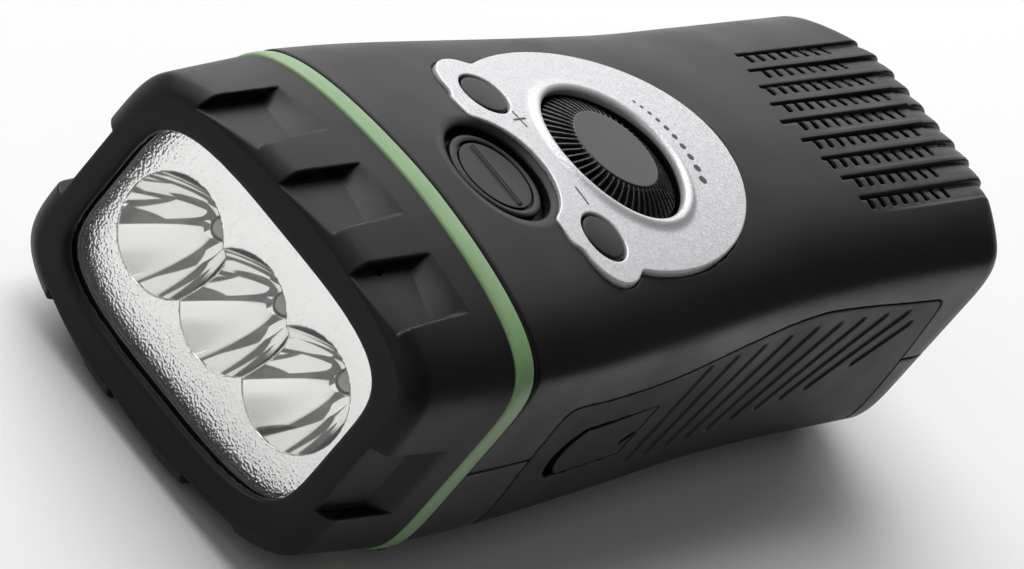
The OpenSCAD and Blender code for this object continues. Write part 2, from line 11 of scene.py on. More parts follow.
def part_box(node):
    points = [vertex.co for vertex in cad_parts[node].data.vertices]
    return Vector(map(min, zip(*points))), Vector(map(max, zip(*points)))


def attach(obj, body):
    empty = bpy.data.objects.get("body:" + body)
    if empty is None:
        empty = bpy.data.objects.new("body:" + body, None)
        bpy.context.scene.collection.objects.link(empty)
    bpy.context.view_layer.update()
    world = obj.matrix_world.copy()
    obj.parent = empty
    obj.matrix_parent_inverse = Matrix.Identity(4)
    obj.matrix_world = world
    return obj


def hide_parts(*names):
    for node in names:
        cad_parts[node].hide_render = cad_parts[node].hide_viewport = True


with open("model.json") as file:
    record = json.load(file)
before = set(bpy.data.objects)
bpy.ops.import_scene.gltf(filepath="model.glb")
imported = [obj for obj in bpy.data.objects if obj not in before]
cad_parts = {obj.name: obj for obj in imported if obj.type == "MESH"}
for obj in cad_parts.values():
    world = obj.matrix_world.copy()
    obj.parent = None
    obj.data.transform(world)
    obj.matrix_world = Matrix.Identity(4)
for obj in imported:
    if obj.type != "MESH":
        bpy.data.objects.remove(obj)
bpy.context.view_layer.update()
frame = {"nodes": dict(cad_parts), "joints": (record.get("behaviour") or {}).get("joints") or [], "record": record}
MM = 0.001
FINE = 1.0


# ---------------------------------------------------------------- places, in millimetres, from the frame
def box_mm(node):
    low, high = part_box(node)
    return np.array(low) / MM, np.array(high) / MM


def middle_mm(node):
    low, high = box_mm(node)
    return (low + high) / 2


def joint_mm(name):
    joint = next(j for j in frame["joints"] if j["name"] == name)
    return np.array(joint["pos_m"]) / MM


X_FRONT = box_mm("rubber_bumper")[0][0]
X_RING = box_mm("trim_ring")[0][0]
X_RING_END = box_mm("trim_ring")[1][0]
X_CASE = box_mm("lower_case")[0][0]
X_REAR = box_mm("lower_case")[1][0]
X_LENS = box_mm("lens")[0][0]
X_LENS_END = box_mm("lens")[1][0]
X_LAMP_END = box_mm("leds")[1][0]
SEAM_Z = box_mm("upper_case")[0][2]
HEAD_Z = middle_mm("lens")[2]
KNOB = middle_mm("volume_knob")
KNOB_LOW = box_mm("volume_knob")[0][2]
SCAN = middle_mm("scan_up_button")
LIGHT = middle_mm("light_button")
LIGHT_RIDGE = 0.15
LIGHT_TOP = box_mm("light_button")[1][2] - LIGHT_RIDGE
SPEAKER = middle_mm("speaker_frame")
HINGE = joint_mm("lever_swing")
MID_Z = 22.4
WALL = 2.0
REAR_HALF = 24.5
REAR_TOP = 45.4
PLAN_ROUND = 14
TOP_ROUND = 12.7
LOW_ROUND = 9
LEVER_THICK = 2.6
LEVER_GAP = 0.7
LEVER_REACH = 99.6
PANEL_ROUND = 2.2
CUP_PITCH = 13.1
CUP_R = 8.0
CUP_DEPTH = 11.6
FAR = 50.0


# ---------------------------------------------------------------- distance functions
def smooth_max(a, b, k):
    h = np.clip(0.5 + 0.5 * (a - b) / k, 0, 1)
    return b + (a - b) * h + k * h * (1 - h)


def smooth_min(a, b, k):
    return -smooth_max(-a, -b, k)


def carve(a, b, k):
    """a with b taken away, the new edge rounded by k."""
    return smooth_max(a, -b, k)


def oval(u, v, a, b, p, q):
    """Distance to a flat-sided oval |u/a|^p + |v/b|^q = 1, true close to its edge."""
    ease = 0.006
    s = np.sqrt((u / a) ** 2 + ease) / math.sqrt(1 + ease)
    t = np.abs(v) / b
    sp, tq = s ** (p - 1), t ** (q - 1)
    return (s * sp + t * tq - 1) / (np.hypot(p * sp / a, q * tq / b) + 1e-3)


def disc(u, v, r):
    return np.hypot(u, v) - r


def slab(w, low, high):
    return np.maximum(low - w, w - high)


def stadium(u, v, u0, v0, u1, v1, r):
    """Distance to a straight slot with round ends."""
    du, dv = u1 - u0, v1 - v0
    t = np.clip(((u - u0) * du + (v - v0) * dv) / (du * du + dv * dv), 0, 1)
    return np.hypot(u - u0 - t * du, v - v0 - t * dv) - r


def about_hinge(x, z, r):
    """Distance to a cylinder of radius r round the lever's hinge line."""
    return disc(x - HINGE[0], z - HINGE[2], r)


def round_off(d, u, v, r):
    """d with one corner rounded by r, where u and v run outwards from the middle of the round."""
    return np.where((u > 0) & (v > 0), np.hypot(u, v) - r, d)


def nothing_near(p):
    return np.full(len(p), FAR, np.float32)


def smooth_curve(points, blur):
    """A curve through points, softened over blur millimetres."""
    step, margin = 0.25, 20
    x = np.arange(points[0][0] - margin, points[-1][0] + margin, step)
    y = np.interp(x, [p[0] for p in points], [p[1] for p in points])
    reach = int(3 * blur / step)
    kernel = np.exp(-0.5 * (np.arange(-reach, reach + 1) * step / blur) ** 2)
    y = np.convolve(np.pad(y, reach, mode="edge"), kernel / kernel.sum(), "valid")
    return lambda v: np.interp(v, x, y).astype(np.float32)


half_width = smooth_curve([(-57, 29.85), (-39, 29.4), (-19, 28.1), (1, 26.3), (21, 25.1), (41, REAR_HALF),
                           (79, REAR_HALF)], 5)
flank_width = smooth_curve([(-57, 30.1), (-45, 30.0), (-34, 29.5), (21, 25.5), (79, 25.4)], 5)
top_height = smooth_curve([(-57, 44.0), (0, 44.6), (30, REAR_TOP), (79, REAR_TOP)], 5)
lower_curve = smooth_curve([(0, 7.0), (40, 5.0)], 5)
panel_top = smooth_curve([(-46, 29.6), (-40, 29.9), (-37.4, 30.7), (-30, 30.1), (-21, 30.1), (-12, 30.4),
                          (-5, 31.3), (3, 32.9), (14.5, 35), (24.5, 35.8), (36, 35.2), (47, 34.3),
                          (70, 33)], 2.2)
panel_front = smooth_curve([(-8, -39), (0, -38.6), (6, -37.2), (11.7, -36.8), (18.2, -38.2), (29.8, -39.3),
                            (40, -39.4)], 2)

CORNER_TILT = math.radians(24.6)
CORNER_TURN = math.radians(30)
CORNER = (math.cos(CORNER_TILT) * math.cos(CORNER_TURN), math.cos(CORNER_TILT) * math.sin(CORNER_TURN),
          math.sin(CORNER_TILT))
CORNER_X = 40
CORNER_REACH = 40.8


def case_form(p, e=0.0):
    """The outer form of the case, e inside its outer face, with a slanted cut across each rear corner."""
    x, y, z = p[:, 0], np.abs(p[:, 1]), p[:, 2]
    curve = np.where(z < MID_Z, lower_curve(x), 7)
    section = oval(y, z - MID_Z, flank_width(x) - e, top_height(x) - MID_Z - e, 1.6, curve)
    plan = np.maximum(y - half_width(x), x - X_REAR)
    plan = round_off(plan, x - X_REAR + PLAN_ROUND, y - (REAR_HALF - PLAN_ROUND), PLAN_ROUND) + e
    side = np.maximum(x - X_REAR, -z)
    side = round_off(side, x - X_REAR + TOP_ROUND, z - (REAR_TOP - TOP_ROUND), TOP_ROUND)
    side = round_off(side, x - X_REAR + LOW_ROUND, LOW_ROUND - z, LOW_ROUND) + e
    cut = (x - CORNER_X) * CORNER[0] + y * CORNER[1] + np.abs(z - MID_Z) * CORNER[2] - CORNER_REACH + e
    form = smooth_max(smooth_max(section, plan, 1.6), side, 1.2)
    return smooth_max(form, cut, 3.0)


def lever_zone(x, z, gap=0.0):
    """Side outline of the lever's panel, widened by gap."""
    top = (z - panel_top(x)) * 0.99
    reach = np.hypot(x - HINGE[0], z - HINGE[2]) - LEVER_REACH
    front = panel_front(z) - x
    return smooth_max(smooth_max(top, reach, PANEL_ROUND), front, PANEL_ROUND) - gap


# ---------------------------------------------------------------- from a distance function to a mesh
CHUNK = 60000
BLOCK = 8
BLOCK_REACH = 1.7
CORNERS = [(i, j, k) for k in (0, 1) for j in (0, 1) for i in (0, 1)]
EDGES = [(start, tuple(start[n] + (n == axis) for n in range(3)))
         for axis in range(3) for start in CORNERS if start[axis] == 0]
PROBE = 0.3
NORMAL_PROBE = 0.35
LEAST_SLOPE = 0.2
MOST_MOVE = 0.4


def evaluate(shape, points):
    """The shape's distance at many points, in pieces small enough for the cache."""
    out = np.empty(len(points), np.float32)
    for i in range(0, len(points), CHUNK):
        out[i:i + CHUNK] = shape(points[i:i + CHUNK])
    return out


def sample(shape, low, high, step):
    """Distances on a grid, worked out only in the blocks that the surface may cross."""
    blocks = np.ceil((high - low) / (step * BLOCK)).astype(int) + 1
    low = (low + high) / 2 - blocks * step * BLOCK / 2
    index = np.stack(np.meshgrid(*[np.arange(n) for n in blocks], indexing="ij"), -1).reshape(-1, 3)
    centres = (low + (index + 0.5) * BLOCK * step - step / 2).astype(np.float32)
    rough = evaluate(shape, centres)
    field = np.empty((len(index), BLOCK**3), np.float32)
    field[:] = rough[:, None]
    near = np.abs(rough) < BLOCK_REACH * BLOCK * step
    inner = np.stack(np.meshgrid(*[np.arange(BLOCK)] * 3, indexing="ij"), -1).reshape(-1, 3)
    points = low + (index[near][:, None, :] * BLOCK + inner[None]) * step
    field[near] = evaluate(shape, points.reshape(-1, 3).astype(np.float32)).reshape(-1, BLOCK**3)
    field = field.reshape(*blocks, BLOCK, BLOCK, BLOCK).transpose(0, 3, 1, 4, 2, 5)
    return field.reshape(blocks * BLOCK), low


def net(field, low, step):
    """A closed quad mesh round the field's inside: one vertex per crossed cell."""
    inside = field < 0
    count = np.zeros([n - 1 for n in field.shape], np.int8)
    for i, j, k in np.ndindex(2, 2, 2):
        count += inside[i:count.shape[0] + i, j:count.shape[1] + j, k:count.shape[2] + k]
    active = (count > 0) & (count < 8)
    number = np.full(active.shape, -1, np.int32)
    cells = np.argwhere(active)
    number[active] = np.arange(len(cells))
    total, hits = np.zeros((len(cells), 3)), np.zeros(len(cells))
    for a, b in EDGES:
        fa = field[tuple((cells + a).T)]
        fb = field[tuple((cells + b).T)]
        cross = (fa < 0) != (fb < 0)
        t = fa[cross] / (fa[cross] - fb[cross])
        total[cross] += np.array(a) + t[:, None] * (np.array(b) - np.array(a))
        hits[cross] += 1
    points = low + (cells + total / hits[:, None]) * step
    faces = []
    for axis in range(3):
        ahead = np.delete(np.arange(3), axis)
        first = [slice(1, -1)] * 3
        second = [slice(1, -1)] * 3
        second[axis] = slice(2, None)
        change = np.argwhere(inside[tuple(first)] != inside[tuple(second)]) + 1
        corners = []
        for du, dv in ((-1, -1), (0, -1), (0, 0), (-1, 0)):
            cell = change.copy()
            cell[:, ahead[0]] += du
            cell[:, ahead[1]] += dv
            corners.append(number[tuple(cell.T)])
        quads = np.stack(corners, 1)
        flip = inside[tuple(change.T)] == (axis == 1)
        quads[flip] = quads[flip][:, ::-1]
        faces.append(quads)
    return points, np.concatenate(faces)


def slope(shape, points, step):
    """Distance and its gradient at points."""
    base = evaluate(shape, points.astype(np.float32))
    grad = np.empty((len(points), 3))
    for axis in range(3):
        ahead, behind = points.copy(), points.copy()
        ahead[:, axis] += step
        behind[:, axis] -= step
        grad[:, axis] = evaluate(shape, ahead.astype(np.float32)) - evaluate(shape, behind.astype(np.float32))
    return base, grad / (2 * step)


def settle(shape, points, step, rounds):
    """Moves points onto the shape's true surface, by a part of a step at most in each round."""
    for _ in range(rounds):
        value, grad = slope(shape, points, step * PROBE)
        move = (value / np.maximum((grad**2).sum(1), LEAST_SLOPE))[:, None] * grad
        length = np.linalg.norm(move, axis=1, keepdims=True)
        points = points - move * np.minimum(1, MOST_MOVE * step / np.maximum(length, 1e-9))
    return points


def place(obj, material, body, slot, *nodes):
    """Gives a piece its material and body and hides the CAD nodes it stands for; slot is not used."""
    obj.data.materials.clear()
    obj.data.materials.append(material)
    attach(obj, body)
    if nodes:
        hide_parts(*nodes)


def mesh_object(name, points, faces):
    """A mesh object from points in millimetres and lists of point numbers."""
    mesh = bpy.data.meshes.new(name)
    mesh.from_pydata((np.asarray(points) * MM).tolist(), [], faces)
    mesh.validate()
    obj = bpy.data.objects.new(name, mesh)
    bpy.context.scene.collection.objects.link(obj)
    return obj


def sculpt(name, shape, low, high, step, keep=1.0):
    """A piece meshed from a distance function; keep below 1 thins the mesh where it is smooth."""
    step *= FINE
    low, high = np.array(low, float) - 2 * step, np.array(high, float) + 2 * step
    field, origin = sample(shape, low, high, step)
    points, faces = net(field, origin, step)
    points = settle(shape, points, step, 2)
    obj = mesh_object(name, points, faces.tolist())
    if keep < 1:
        thin = obj.modifiers.new("thin", "DECIMATE")
        thin.ratio = keep
        graph = bpy.context.evaluated_depsgraph_get()
        thinned = bpy.data.meshes.new_from_object(obj.evaluated_get(graph))
        obj.modifiers.clear()
        obj.data = thinned
        thinned.name = name
    points = np.empty(len(obj.data.vertices) * 3)
    obj.data.vertices.foreach_get("co", points)
    points = settle(shape, points.reshape(-1, 3) / MM, step, 1)
    obj.data.vertices.foreach_set("co", (points * MM).ravel())
    normals = slope(shape, points, step * NORMAL_PROBE)[1]
    normals /= np.maximum(np.linalg.norm(normals, axis=1, keepdims=True), 1e-9)
    obj.data.polygons.foreach_set("use_smooth", [True] * len(obj.data.polygons))
    obj.data.normals_split_custom_set_from_vertices(normals.tolist())
    obj.data.update()
    return obj


# ---------------------------------------------------------------- materials
class Paint:
    """A principled material with short calls for its procedural detail. Lengths are in millimetres."""

    def __init__(self, name, color, rough, metal=0.0, specular=0.5):
        self.material = bpy.data.materials.new(name)
        self.material.use_nodes = True
        self.tree = self.material.node_tree
        self.tree.nodes.clear()
        self.out = self.add("ShaderNodeOutputMaterial")
        self.bsdf = self.add("ShaderNodeBsdfPrincipled")
        self.link(self.bsdf, "BSDF", self.out, "Surface")
        self.set(**{"Base Color": (*color, 1), "Roughness": rough, "Metallic": metal})
        self.set(**{"Specular IOR Level": specular})
        coords = self.add("ShaderNodeTexCoord")
        scale = self.add("ShaderNodeVectorMath", operation="SCALE")
        scale.inputs["Scale"].default_value = 1 / MM
        self.link(coords, "Object", scale, 0)
        self.where = scale
        self.height = None

    def add(self, kind, **values):
        node = self.tree.nodes.new(kind)
        for key, value in values.items():
            setattr(node, key, value)
        return node

    def link(self, a, out, b, into):
        self.tree.links.new(a.outputs[out], b.inputs[into])

    def set(self, **values):
        for key, value in values.items():
            self.bsdf.inputs[key].default_value = value

    def noise(self, size, detail=3.0, rough=0.5):
        node = self.add("ShaderNodeTexNoise")
        node.inputs["Scale"].default_value = 1 / size
        node.inputs["Detail"].default_value = detail
        node.inputs["Roughness"].default_value = rough
        self.link(self.where, 0, node, "Vector")
        return node

    def cells(self, size, feature="F1"):
        node = self.add("ShaderNodeTexVoronoi", feature=feature)
        node.inputs["Scale"].default_value = 1 / size
        self.link(self.where, 0, node, "Vector")
        return node

    def ramp(self, source, out, low, high, a, b, into=None, input_name=None):
        """Maps source from low..high to a..b into a node's input."""
        node = self.add("ShaderNodeMapRange", clamp=True)
        for key, value in (("From Min", low), ("From Max", high), ("To Min", a), ("To Max", b)):
            node.inputs[key].default_value = value
        self.link(source, out, node, "Value")
        if into is not None:
            self.link(node, "Result", into, input_name)
        return node

    def tint(self, source, out, low, high, color_a, color_b):
        """Base colour that runs from color_a to color_b with source."""
        share = self.ramp(source, out, low, high, 0, 1)
        mix = self.add("ShaderNodeMix", data_type="RGBA")
        mix.inputs["A"].default_value = (*color_a, 1)
        mix.inputs["B"].default_value = (*color_b, 1)
        self.link(share, "Result", mix, "Factor")
        self.link(mix, "Result", self.bsdf, "Base Color")

    def bump(self, source, out, depth):
        """Adds relief of depth millimetres on top of any relief added before."""
        node = self.add("ShaderNodeBump")
        node.inputs["Distance"].default_value = depth * MM
        self.link(source, out, node, "Height")
        if self.height is not None:
            self.link(self.height, "Normal", node, "Normal")
        self.height = node
        self.link(node, "Normal", self.bsdf, "Normal")


def moulded(name, color, worn, rough, grain, specular):
    """Moulded plastic or rubber: spark-eroded grain, slow gloss changes, fine dust and handling marks."""
    paint = Paint(name, color, rough, specular=specular)
    paint.ramp(paint.noise(14, 4), "Fac", 0.3, 0.7, rough - 0.05, rough + 0.06, paint.bsdf, "Roughness")
    paint.tint(paint.noise(0.22, 2, 0.7), "Fac", 0.62, 0.86, color, worn)
    paint.bump(paint.noise(0.28, 2, 0.6), "Fac", grain)
    paint.bump(paint.noise(3.5, 3), "Fac", grain * 0.8)
    return paint.material


def rubber_finish():
    return moulded("bumper rubber", (0.005, 0.005, 0.0055), (0.011, 0.011, 0.0115),
                   rough=0.44, grain=0.008, specular=0.2)


def case_finish():
    return moulded("case plastic", (0.0045, 0.0045, 0.0053), (0.012, 0.012, 0.013),
                   rough=0.38, grain=0.009, specular=0.19)


def lever_finish():
    return moulded("lever plastic", (0.0042, 0.0039, 0.0039), (0.011, 0.0105, 0.0105),
                   rough=0.44, grain=0.009, specular=0.12)


def ring_finish():
    paint = Paint("ring green", (0.2, 0.34, 0.15), 0.36)
    paint.tint(paint.noise(9, 3), "Fac", 0.3, 0.7, (0.18, 0.315, 0.135), (0.22, 0.365, 0.17))
    paint.bump(paint.noise(0.4, 2), "Fac", 0.006)
    paint.set(**{"Subsurface Weight": 0.08, "Subsurface Scale": 0.001})
    return paint.material


def plate_finish():
    """Silver paint with metal flakes that catch the light one by one."""
    paint = Paint("plate silver", (0.7, 0.7, 0.72), 0.4, metal=0.35)
    flakes = paint.cells(0.16)
    paint.tint(flakes, "Color", 0.1, 0.95, (0.5, 0.5, 0.52), (0.74, 0.74, 0.76))
    paint.ramp(flakes, "Color", 0.2, 0.9, 0.5, 0.24, paint.bsdf, "Roughness")
    paint.bump(flakes, "Color", 0.02)
    paint.bump(paint.noise(0.5, 3), "Fac", 0.012)
    return paint.material


def knob_finish():
    return moulded("knob plastic", (0.006, 0.006, 0.0063), (0.01, 0.01, 0.01),
                   rough=0.26, grain=0.005, specular=0.34)


def button_finish():
    return moulded("button rubber", (0.006, 0.006, 0.0065), (0.013, 0.013, 0.0135),
                   rough=0.4, grain=0.008, specular=0.24)


def reflector_finish():
    """Vacuum-metallised plastic: a fine hammered stipple on the face, mirror-smooth cups."""
    paint = Paint("reflector chrome", (0.97, 0.965, 0.95), 0.06, metal=1.0)
    stipple = paint.cells(0.34, "SMOOTH_F1")
    face = paint.add("ShaderNodeAttribute", attribute_name="stipple")
    paint.ramp(face, "Fac", 0, 1, 0.05, 0.22, paint.bsdf, "Roughness")
    relief = paint.add("ShaderNodeMath", operation="MULTIPLY")
    paint.link(stipple, "Distance", relief, 0)
    paint.link(face, "Fac", relief, 1)
    paint.bump(relief, "Value", 0.1)
    return paint.material


def lens_finish():
    """Clear plastic: seen through nearly unchanged, and a mirror only at a glancing angle."""
    paint = Paint("lens clear", (1, 1, 1), 0.02)
    clear = paint.add("ShaderNodeBsdfTransparent")
    clear.inputs["Color"].default_value = (0.99, 0.992, 0.992, 1)
    gloss = paint.add("ShaderNodeBsdfGlossy")
    gloss.inputs["Roughness"].default_value = 0.03
    glance = paint.add("ShaderNodeLayerWeight")
    glance.inputs["Blend"].default_value = 0.5
    curve = paint.add("ShaderNodeMath", operation="POWER")
    paint.link(glance, "Facing", curve, 0)
    curve.inputs[1].default_value = 5
    mirror = paint.add("ShaderNodeMath", operation="MULTIPLY_ADD")
    paint.link(curve, "Value", mirror, 0)
    least = 0.05
    mirror.inputs[1].default_value = 1 - least
    mirror.inputs[2].default_value = least
    mix = paint.add("ShaderNodeMixShader")
    paint.link(mirror, "Value", mix, "Fac")
    paint.link(clear, "BSDF", mix, 1)
    paint.link(gloss, "BSDF", mix, 2)
    scratches = paint.add("ShaderNodeBump")
    scratches.inputs["Distance"].default_value = 0.002 * MM
    paint.link(paint.noise(0.8, 4), "Fac", scratches, "Height")
    paint.link(scratches, "Normal", gloss, "Normal")
    paint.link(mix, "Shader", paint.out, "Surface")
    return paint.material


def led_finish():
    paint = Paint("lamp resin", (0.95, 0.95, 0.86), 0.08)
    paint.set(**{"Transmission Weight": 0.6, "IOR": 1.5})
    paint.bump(paint.noise(1.5, 2), "Fac", 0.004)
    return paint.material


def metal_finish(name, color, rough):
    paint = Paint(name, color, rough, metal=1.0)
    paint.ramp(paint.noise(2.5, 4), "Fac", 0.3, 0.7, rough - 0.08, rough + 0.1, paint.bsdf, "Roughness")
    paint.bump(paint.noise(0.3, 3), "Fac", 0.006)
    return paint.material


def cloth_finish(name, color):
    paint = Paint(name, color, 0.9, specular=0.2)
    weave = paint.add("ShaderNodeTexChecker")
    weave.inputs["Scale"].default_value = 2.2
    paint.link(paint.where, 0, weave, "Vector")
    paint.bump(weave, "Fac", 0.05)
    paint.set(**{"Sheen Weight": 0.3})
    return paint.material


def plain_finish(name, color, rough, spread=1.25):
    """Inner parts: one colour with slow tone and gloss changes."""
    paint = Paint(name, color, rough)
    paint.tint(paint.noise(4, 4), "Fac", 0.3, 0.75, color, tuple(min(1, c * spread) for c in color))
    paint.ramp(paint.noise(1.2, 3), "Fac", 0.3, 0.7, rough - 0.08, rough + 0.08, paint.bsdf, "Roughness")
    paint.bump(paint.noise(0.4, 3), "Fac", 0.008)
    return paint.material


def ink_finish():
    return plain_finish("printed marks", (0.02, 0.02, 0.022), 0.5)


RUBBER = rubber_finish()
CASE = case_finish()
LEVER = lever_finish()
RING = ring_finish()
SILVER = plate_finish()
KNOB_BLACK = knob_finish()
BUTTON = button_finish()
CHROME = reflector_finish()
LENS_CLEAR = lens_finish()
INK = ink_finish()
LAMP = led_finish()
CAD_FINISHES = {
    "gasket_rubber": RUBBER, "case_black": CASE, "led_clear": LAMP,
    "board_green": plain_finish("board green", (0.03, 0.17, 0.07), 0.35),
    "steel": metal_finish("plain steel", (0.58, 0.59, 0.61), 0.36),
    "chip_black": plain_finish("chip black", (0.025, 0.025, 0.027), 0.5),
    "magnet_grey": metal_finish("magnet grey", (0.14, 0.14, 0.15), 0.5),
    "cone_paper": cloth_finish("cone paper", (0.03, 0.03, 0.03)),
    "cloth_black": cloth_finish("cloth black", (0.012, 0.012, 0.012)),
    "cell_blue": plain_finish("cell sleeve", (0.04, 0.13, 0.34), 0.3),
    "gear_nylon": plain_finish("gear nylon", (0.74, 0.71, 0.62), 0.42, 1.08),
    "coil_copper": metal_finish("coil copper", (0.72, 0.36, 0.16), 0.3),
}


def dress_cad_nodes():
    """Every carried-over CAD node gets the finish of its record slot."""
    for entry in frame["record"]["subparts"]:
        finish = CAD_FINISHES.get(entry["material_slot"], CASE)
        obj = frame["nodes"][entry["node"]]
        if not obj.data.materials:
            obj.data.materials.append(finish)
        for i in range(len(obj.data.materials)):
            obj.data.materials[i] = finish


dress_cad_nodes()


# ---------------------------------------------------------------- head
POCKET_PITCH = 14.9
POCKET_HALF = 4.7
POCKET_RUN = 14.5
POCKET_DEPTH = 1.9
RAMP_RUN = 4.5
SIDE_POCKET_HALF = 5.7
SIDE_POCKET_DROP = 0.7
CHAMFER_SLANT = 0.7071
RING_CROWN = 0.12
REFLECTOR_FACE = X_FRONT + 3.75
REFLECTOR_WALL = 1.0
CUP_WALL = 0.9
LAMP_HOLE_R = 1.6
DOME_R = 1.4
DOME_LENGTH = 3.2
LAMP_BASE_HALF = 2.4
LAMP_BASE_THICK = 0.7
bumper_width = smooth_curve([(X_FRONT - 2, 28.2), (X_FRONT + 2.2, 28.8), (X_RING + 2, 29.85)], 1.5)
bumper_height = smooth_curve([(X_FRONT - 2, 20.4), (X_FRONT + 2.2, 21.0), (X_RING + 2, 21.95)], 1.5)


def neck(y, z):
    """The neck of the lamp housing, which the bumper and the ring sit on."""
    return oval(y, z, 26.95, 18.95, 1.65, 7)


def window(y, z, grow=0.0):
    """Outline of the front window, widened by grow."""
    return oval(y, z, 24.3 + grow, 15.7 + grow, 3.4, 5.2)


def bumper_form(p):
    x, y, z = p[:, 0], p[:, 1], p[:, 2] - HEAD_Z
    return oval(y, z, bumper_width(x), bumper_height(x), 1.65, 6.8)


def grip_pockets(p):
    """Pockets round the rim, three above, three below and one on each side.

    Each has a flat floor and then a ramp up to the rear, and the outer ones lean away from the middle.
    """
    x, y, z = p[:, 0], p[:, 1], p[:, 2] - HEAD_Z
    back = np.clip((x - X_FRONT) / POCKET_RUN, 0, 1)
    found = nothing_near(p)
    lean = np.zeros(len(x), np.float32)
    for k in (-1, 0, 1):
        across = y - k * POCKET_PITCH
        narrowed = np.abs(across) - POCKET_HALF * (1 - 0.1 * back)
        found = np.minimum(found, smooth_max(narrowed, 6 - np.abs(z), 0.3))
        lean = np.where(np.abs(across) < 6, across, lean)
    sides = smooth_max(np.abs(z + SIDE_POCKET_DROP) - SIDE_POCKET_HALF, 14 - np.abs(y), 0.3)
    lean = np.where(np.abs(y) > 24, 0, lean)
    ramp = np.clip((X_FRONT + POCKET_RUN - x) / (RAMP_RUN - 0.5 * lean), -1, 1)
    depth = (POCKET_DEPTH + 0.17 * lean) * ramp - 0.04
    floor = (-bumper_form(p) - depth) * 0.85
    return smooth_max(smooth_max(np.minimum(found, sides), floor, 0.2), x - X_FRONT - POCKET_RUN - 0.3, 0.3)


def bumper(p):
    """Soft rim with a chamfered front, a mouth for the window, a seat for it and a bore for the neck."""
    x, y, z = p[:, 0], p[:, 1], p[:, 2] - HEAD_Z
    d = smooth_max(bumper_form(p), X_FRONT - x, 3.2)
    chamfer = (oval(y, z, 27.4, 19.6, 1.7, 6.2) - (x - X_FRONT)) * CHAMFER_SLANT
    d = smooth_max(d, chamfer, 0.9)
    d = carve(d, grip_pockets(p), 0.35)
    d = smooth_max(d, x - X_RING + 0.02, 0.5)
    mouth = smooth_max(oval(y, z, 22.9, 14.2, 3.4, 5.2), x - X_FRONT - 4, 0.1)
    d = carve(d, mouth, 1.1)
    seat = smooth_max(window(y, z, 0.3), slab(x, X_FRONT + 1.45, X_FRONT + 6), 0.1)
    d = np.maximum(d, -seat)
    bore = np.maximum(neck(y, z), X_FRONT + 5 - x)
    return np.maximum(d, -bore)


def trim_ring(p):
    """Ring with a slightly crowned outside and a flat where it meets the table."""
    x, y, z = p[:, 0], p[:, 1], p[:, 2]
    crown = RING_CROWN - ((x - (X_RING + X_RING_END) / 2) / 2) ** 2 * RING_CROWN
    outer = oval(y, z - HEAD_Z, 29.78, 22.1, 1.62, 7) - crown
    d = smooth_max(smooth_max(outer, X_RING - x, 0.7), x - X_RING_END, 0.7)
    d = smooth_max(d, -z, 0.4)
    return np.maximum(d, -neck(y, z - HEAD_Z))


def lens(p):
    return smooth_max(window(p[:, 1], p[:, 2] - HEAD_Z), slab(p[:, 0], X_LENS, X_LENS_END), 0.4)


def from_cup_middle(y, z):
    """Distance from the middle line of the nearest of the three cups."""
    r = np.full(len(y), FAR, np.float32)
    for k in (-1, 0, 1):
        r = np.minimum(r, np.hypot(y - k * CUP_PITCH, z - HEAD_Z))
    return r


def cup_depth(y, z):
    """Depth of the nearest paraboloid cup behind the plate, negative outside it, and its slope."""
    r = from_cup_middle(y, z)
    return CUP_DEPTH * (1 - (r / CUP_R) ** 2), 2 * CUP_DEPTH * r / CUP_R**2


def reflector(p):
    """Flat plate with three deep cups, each with a hole for its lamp."""
    x, y, z = p[:, 0], p[:, 1], p[:, 2]
    depth, slant = cup_depth(y, z)
    steep = np.sqrt(1 + slant**2)
    front = smooth_max(REFLECTOR_FACE - x, (REFLECTOR_FACE + depth - x) / steep, 0.12)
    behind_cups = (x - REFLECTOR_FACE - depth) / steep - CUP_WALL
    back = smooth_min(x - REFLECTOR_FACE - REFLECTOR_WALL, behind_cups, 0.3)
    d = smooth_max(np.maximum(front, back), window(y, z - HEAD_Z, -0.1), 0.3)
    return np.maximum(d, LAMP_HOLE_R - from_cup_middle(y, z))


def lamps(p):
    """Three small domed lamps on square bases, their tips just through the bottoms of the cups."""
    x, y, z = p[:, 0] - X_LAMP_END, p[:, 1], p[:, 2] - HEAD_Z
    y = y - np.clip(np.round(y / CUP_PITCH), -1, 1) * CUP_PITCH
    ball = np.sqrt(np.minimum(x + DOME_R, 0) ** 2 + y * y + z * z) - DOME_R
    dome = np.maximum(ball, slab(x, -DOME_LENGTH, -0.1))
    base = smooth_max(np.maximum(np.abs(y), np.abs(z)) - LAMP_BASE_HALF, slab(x, -LAMP_BASE_THICK, 0), 0.2)
    return smooth_min(dome, base, 0.15)


# ---------------------------------------------------------------- plate, knob and buttons
PLATE_MID = -13.5
PLATE_HALF_LENGTH = 27.9
PLATE_HALF_WIDTH = 19.45
PLATE_TOP = 44.65
PLATE_TILT = 0.016
PLATE_ARCH = 0.0042
COLLAR_R = 12.3
COLLAR_RISE = 0.5
COLLAR_SPREAD = 0.8
EAR_X, EAR_Y, EAR_R = -27.4, 14.3, 5.5
DISH_EDGE_R = 9.4
MARK_R = 15.7
KNOB_R = 11.0
KNOB_DISC_R = 6.85
KNOB_TOP = 45.05
KNOB_FALL = 1.7
KNOB_RIBS = 54
KNOB_SWEEP = 0.9
KNOB_RIB_DEPTH = 1.15
KNOB_BORE_R = 3.05
KNOB_BORE_TOP = 44.15
SCAN_R = 3.5
STEM_LOW = 37.62
LIGHT_R = 7.2
GROOVE_R = 5.85
BAR_HALF = 5.0


